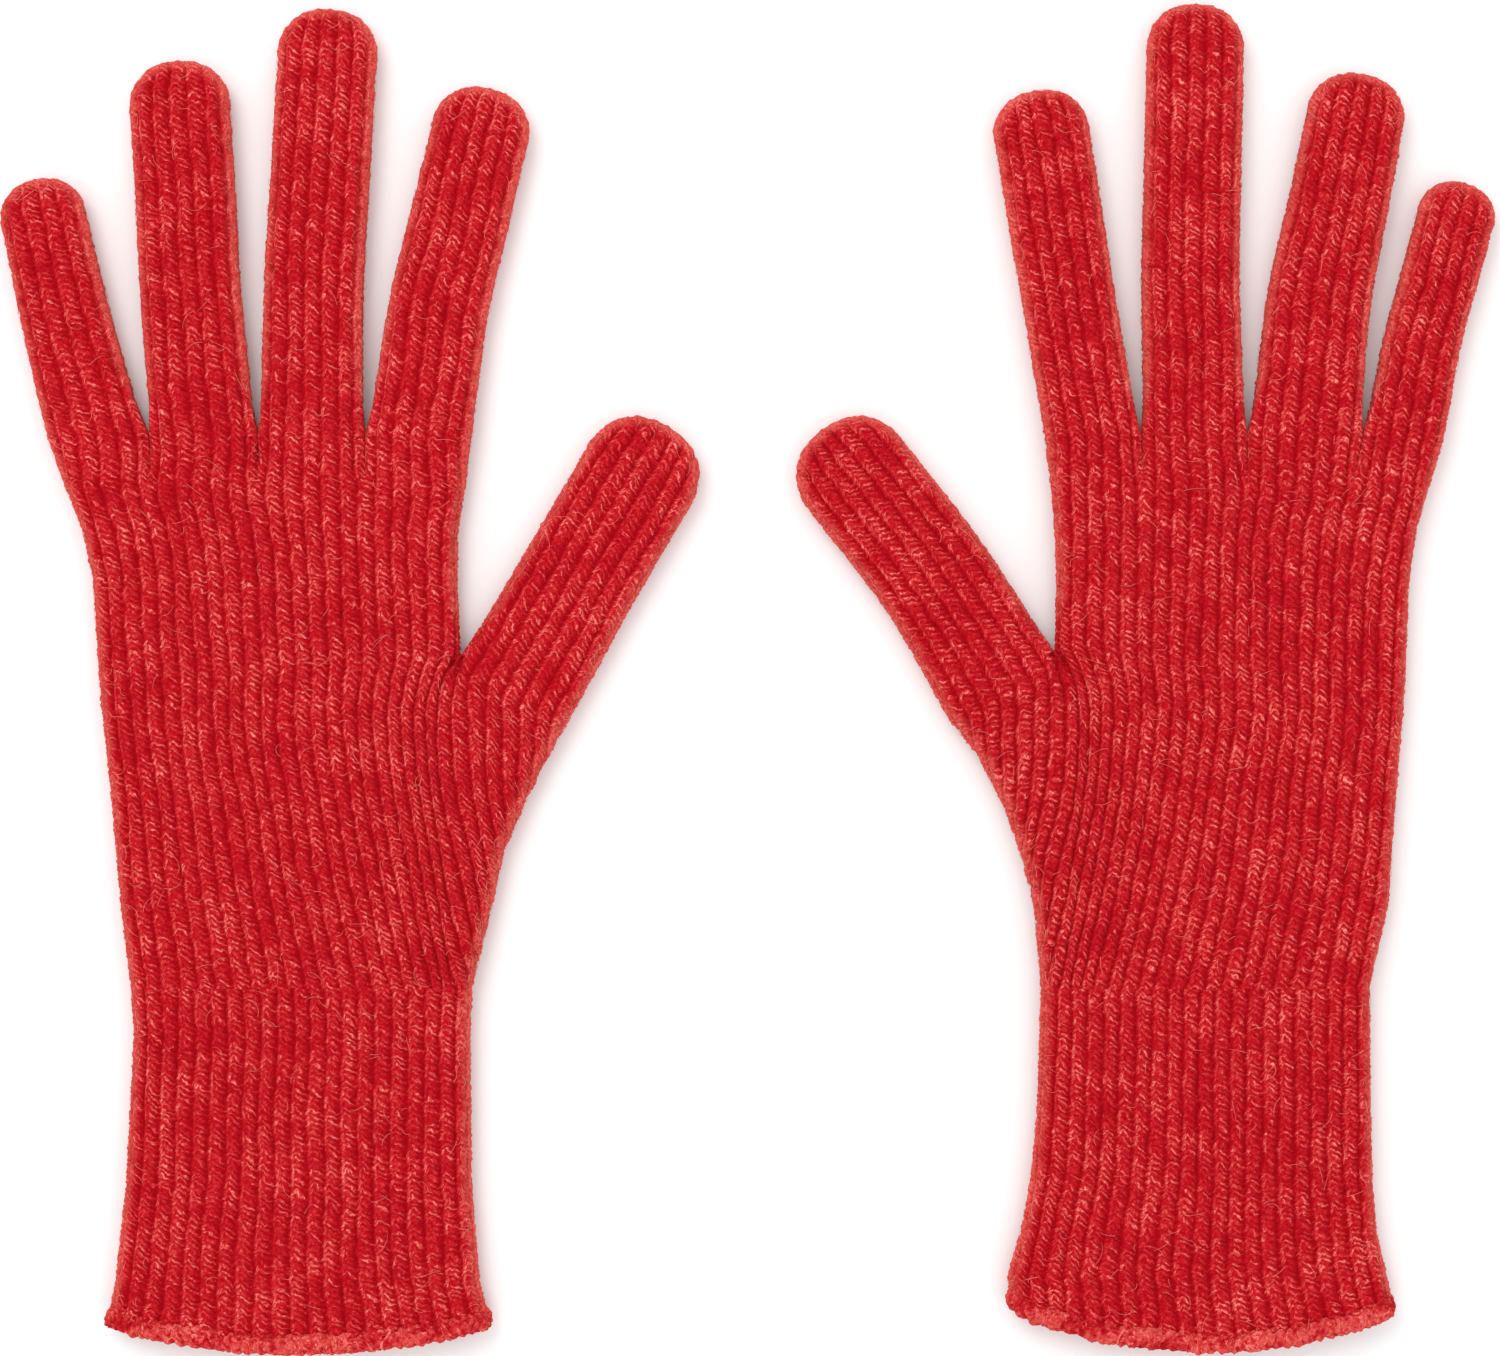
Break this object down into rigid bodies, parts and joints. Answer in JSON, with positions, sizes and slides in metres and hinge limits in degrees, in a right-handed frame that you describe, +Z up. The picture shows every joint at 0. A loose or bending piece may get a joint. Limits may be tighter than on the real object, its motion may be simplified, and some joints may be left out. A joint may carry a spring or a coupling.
{
  "type": "knitted gloves",
  "caption": "Pair of ribbed wool gloves with long flared cuffs, laid flat with the palms up and the thumbs inward; the fingers, thumbs and wrists fold.",
  "frame": {"origin": "centre of the pair's outline in plan, on the surface that the gloves lie on", "axes": "+Z up, +Y towards the fingertips, +X across the pair from the right-hand glove to the left-hand glove"},
  "size_m": [0.3215, 0.29, 0.008],
  "materials": {
    "hand_knit": "matte marled wool rib, red with coral flecks",
    "finger_knit": "matte marled wool rib, red with coral flecks",
    "cuff_knit": "matte marled wool rib, red with coral flecks",
    "cast_on_edge": "fuzzy rolled wool edge, lighter red"
  },
  "bodies": {
    "right_hand": {"right_lower_hand": "hand_knit", "right_upper_hand": "hand_knit"},
    "right_cuff": {"right_cuff": "cuff_knit", "right_cuff_edge": "cast_on_edge"},
    "right_thumb_base": {"right_thumb_base": "finger_knit"},
    "right_thumb_tip": {"right_thumb_tip": "finger_knit", "right_thumb_closure": "finger_knit"},
    "right_little_base": {"right_little_base": "finger_knit"},
    "right_little_middle": {"right_little_middle": "finger_knit"},
    "right_little_tip": {"right_little_tip": "finger_knit", "right_little_closure": "finger_knit"},
    "right_ring_base": {"right_ring_base": "finger_knit"},
    "right_ring_middle": {"right_ring_middle": "finger_knit"},
    "right_ring_tip": {"right_ring_tip": "finger_knit", "right_ring_closure": "finger_knit"},
    "right_middle_base": {"right_middle_base": "finger_knit"},
    "right_middle_middle": {"right_middle_middle": "finger_knit"},
    "right_middle_tip": {"right_middle_tip": "finger_knit", "right_middle_closure": "finger_knit"},
    "right_index_base": {"right_index_base": "finger_knit"},
    "right_index_middle": {"right_index_middle": "finger_knit"},
    "right_index_tip": {"right_index_tip": "finger_knit", "right_index_closure": "finger_knit"},
    "left_hand": {"left_lower_hand": "hand_knit", "left_upper_hand": "hand_knit"},
    "left_cuff": {"left_cuff": "cuff_knit", "left_cuff_edge": "cast_on_edge"},
    "left_thumb_base": {"left_thumb_base": "finger_knit"},
    "left_thumb_tip": {"left_thumb_tip": "finger_knit", "left_thumb_closure": "finger_knit"},
    "left_little_base": {"left_little_base": "finger_knit"},
    "left_little_middle": {"left_little_middle": "finger_knit"},
    "left_little_tip": {"left_little_tip": "finger_knit", "left_little_closure": "finger_knit"},
    "left_ring_base": {"left_ring_base": "finger_knit"},
    "left_ring_middle": {"left_ring_middle": "finger_knit"},
    "left_ring_tip": {"left_ring_tip": "finger_knit", "left_ring_closure": "finger_knit"},
    "left_middle_base": {"left_middle_base": "finger_knit"},
    "left_middle_middle": {"left_middle_middle": "finger_knit"},
    "left_middle_tip": {"left_middle_tip": "finger_knit", "left_middle_closure": "finger_knit"},
    "left_index_base": {"left_index_base": "finger_knit"},
    "left_index_middle": {"left_index_middle": "finger_knit"},
    "left_index_tip": {"left_index_tip": "finger_knit", "left_index_closure": "finger_knit"}
  },
  "joints": [
    {"name": "right_wrist_fold", "type": "hinge", "parent": "right_hand", "child": "right_cuff", "pos_m": [-0.096, -0.0667, 0.008], "axis": [-1, 0, 0], "range_deg": [0, 80]},
    {"name": "right_thumb_root_fold", "type": "hinge", "parent": "right_hand", "child": "right_thumb_base", "pos_m": [-0.04986, -0.00187, 0.008], "axis": [0.8879, -0.46, 0], "range_deg": [0, 60]},
    {"name": "right_thumb_tip_fold", "type": "hinge", "parent": "right_thumb_base", "child": "right_thumb_tip", "pos_m": [-0.03679, 0.02038, 0.008], "axis": [0.8625, -0.506, 0], "range_deg": [0, 75]},
    {"name": "right_little_knuckle", "type": "hinge", "parent": "right_hand", "child": "right_little_base", "pos_m": [-0.13975, 0.0517, 0.008], "axis": [1, 0, 0], "range_deg": [0, 85]},
    {"name": "right_little_middle_fold", "type": "hinge", "parent": "right_little_base", "child": "right_little_middle", "pos_m": [-0.14545, 0.07268, 0.008], "axis": [0.9703, 0.2419, 0], "range_deg": [0, 95]},
    {"name": "right_little_tip_fold", "type": "hinge", "parent": "right_little_middle", "child": "right_little_tip", "pos_m": [-0.14925, 0.08941, 0.008], "axis": [0.9751, 0.2215, 0], "range_deg": [0, 65]},
    {"name": "right_ring_knuckle", "type": "hinge", "parent": "right_hand", "child": "right_ring_base", "pos_m": [-0.11685, 0.0517, 0.008], "axis": [1, 0, 0], "range_deg": [0, 85]},
    {"name": "right_ring_middle_fold", "type": "hinge", "parent": "right_ring_base", "child": "right_ring_middle", "pos_m": [-0.11965, 0.08247, 0.008], "axis": [0.9973, 0.0741, 0], "range_deg": [0, 95]},
    {"name": "right_ring_tip_fold", "type": "hinge", "parent": "right_ring_middle", "child": "right_ring_tip", "pos_m": [-0.12105, 0.10682, 0.008], "axis": [0.9983, 0.0576, 0], "range_deg": [0, 65]},
    {"name": "right_middle_knuckle", "type": "hinge", "parent": "right_hand", "child": "right_middle_base", "pos_m": [-0.0937, 0.0517, 0.008], "axis": [1, 0, 0], "range_deg": [0, 85]},
    {"name": "right_middle_middle_fold", "type": "hinge", "parent": "right_middle_base", "child": "right_middle_middle", "pos_m": [-0.09309, 0.08677, 0.008], "axis": [0.9993, -0.0384, 0], "range_deg": [0, 95]},
    {"name": "right_middle_tip_fold", "type": "hinge", "parent": "right_middle_middle", "child": "right_middle_tip", "pos_m": [-0.09145, 0.11441, 0.008], "axis": [0.9982, -0.0593, 0], "range_deg": [0, 65]},
    {"name": "right_index_knuckle", "type": "hinge", "parent": "right_hand", "child": "right_index_base", "pos_m": [-0.0705, 0.0517, 0.008], "axis": [1, 0, 0], "range_deg": [0, 85]},
    {"name": "right_index_middle_fold", "type": "hinge", "parent": "right_index_base", "child": "right_index_middle", "pos_m": [-0.06614, 0.08052, 0.008], "axis": [0.9818, -0.19, 0], "range_deg": [0, 95]},
    {"name": "right_index_tip_fold", "type": "hinge", "parent": "right_index_middle", "child": "right_index_tip", "pos_m": [-0.06085, 0.10291, 0.008], "axis": [0.9732, -0.23, 0], "range_deg": [0, 65]},
    {"name": "left_wrist_fold", "type": "hinge", "parent": "left_hand", "child": "left_cuff", "pos_m": [0.0984, -0.0667, 0.008], "axis": [-1, 0, 0], "range_deg": [0, 80]},
    {"name": "left_thumb_root_fold", "type": "hinge", "parent": "left_hand", "child": "left_thumb_base", "pos_m": [0.05479, -0.00173, 0.008], "axis": [0.8472, 0.5313, 0], "range_deg": [0, 60]},
    {"name": "left_thumb_tip_fold", "type": "hinge", "parent": "left_thumb_base", "child": "left_thumb_tip", "pos_m": [0.0407, 0.02083, 0.008], "axis": [0.8216, 0.57, 0], "range_deg": [0, 75]},
    {"name": "left_little_knuckle", "type": "hinge", "parent": "left_hand", "child": "left_little_base", "pos_m": [0.14115, 0.0517, 0.008], "axis": [1, 0, 0], "range_deg": [0, 85]},
    {"name": "left_little_middle_fold", "type": "hinge", "parent": "left_little_base", "child": "left_little_middle", "pos_m": [0.14524, 0.07274, 0.008], "axis": [0.9744, -0.225, 0], "range_deg": [0, 95]},
    {"name": "left_little_tip_fold", "type": "hinge", "parent": "left_little_middle", "child": "left_little_tip", "pos_m": [0.14962, 0.08908, 0.008], "axis": [0.9659, -0.2588, 0], "range_deg": [0, 65]},
    {"name": "left_ring_knuckle", "type": "hinge", "parent": "left_hand", "child": "left_ring_base", "pos_m": [0.11975, 0.0517, 0.008], "axis": [1, 0, 0], "range_deg": [0, 85]},
    {"name": "left_ring_middle_fold", "type": "hinge", "parent": "left_ring_base", "child": "left_ring_middle", "pos_m": [0.123, 0.08166, 0.008], "axis": [0.9885, -0.1513, 0], "range_deg": [0, 95]},
    {"name": "left_ring_tip_fold", "type": "hinge", "parent": "left_ring_middle", "child": "left_ring_tip", "pos_m": [0.12763, 0.10499, 0.008], "axis": [0.981, -0.1942, 0], "range_deg": [0, 65]},
    {"name": "left_middle_knuckle", "type": "hinge", "parent": "left_hand", "child": "left_middle_base", "pos_m": [0.09605, 0.0517, 0.008], "axis": [1, 0, 0], "range_deg": [0, 85]},
    {"name": "left_middle_middle_fold", "type": "hinge", "parent": "left_middle_base", "child": "left_middle_middle", "pos_m": [0.09525, 0.08714, 0.008], "axis": [1, 0.0009, 0], "range_deg": [0, 95]},
    {"name": "left_middle_tip_fold", "type": "hinge", "parent": "left_middle_middle", "child": "left_middle_tip", "pos_m": [0.09583, 0.11513, 0.008], "axis": [0.9998, -0.0209, 0], "range_deg": [0, 65]},
    {"name": "left_index_knuckle", "type": "hinge", "parent": "left_hand", "child": "left_index_base", "pos_m": [0.0741, 0.0517, 0.008], "axis": [1, 0, 0], "range_deg": [0, 85]},
    {"name": "left_index_middle_fold", "type": "hinge", "parent": "left_index_base", "child": "left_index_middle", "pos_m": [0.06925, 0.08005, 0.008], "axis": [0.9863, 0.165, 0], "range_deg": [0, 95]},
    {"name": "left_index_tip_fold", "type": "hinge", "parent": "left_index_middle", "child": "left_index_tip", "pos_m": [0.06558, 0.10247, 0.008], "axis": [0.9869, 0.1616, 0], "range_deg": [0, 65]},
    {"name": "left_glove_slide", "type": "slide", "parent": "right_hand", "child": "left_hand", "axis": [1, 0, 0], "range_m": [0, 0.06]}
  ],
  "couplings": [
    {"joint": "right_little_tip_fold", "follows": "right_little_middle_fold", "ratio": 0.67},
    {"joint": "right_ring_tip_fold", "follows": "right_ring_middle_fold", "ratio": 0.67},
    {"joint": "right_middle_tip_fold", "follows": "right_middle_middle_fold", "ratio": 0.67},
    {"joint": "right_index_tip_fold", "follows": "right_index_middle_fold", "ratio": 0.67},
    {"joint": "left_little_tip_fold", "follows": "left_little_middle_fold", "ratio": 0.67},
    {"joint": "left_ring_tip_fold", "follows": "left_ring_middle_fold", "ratio": 0.67},
    {"joint": "left_middle_tip_fold", "follows": "left_middle_middle_fold", "ratio": 0.67},
    {"joint": "left_index_tip_fold", "follows": "left_index_middle_fold", "ratio": 0.67}
  ]
}
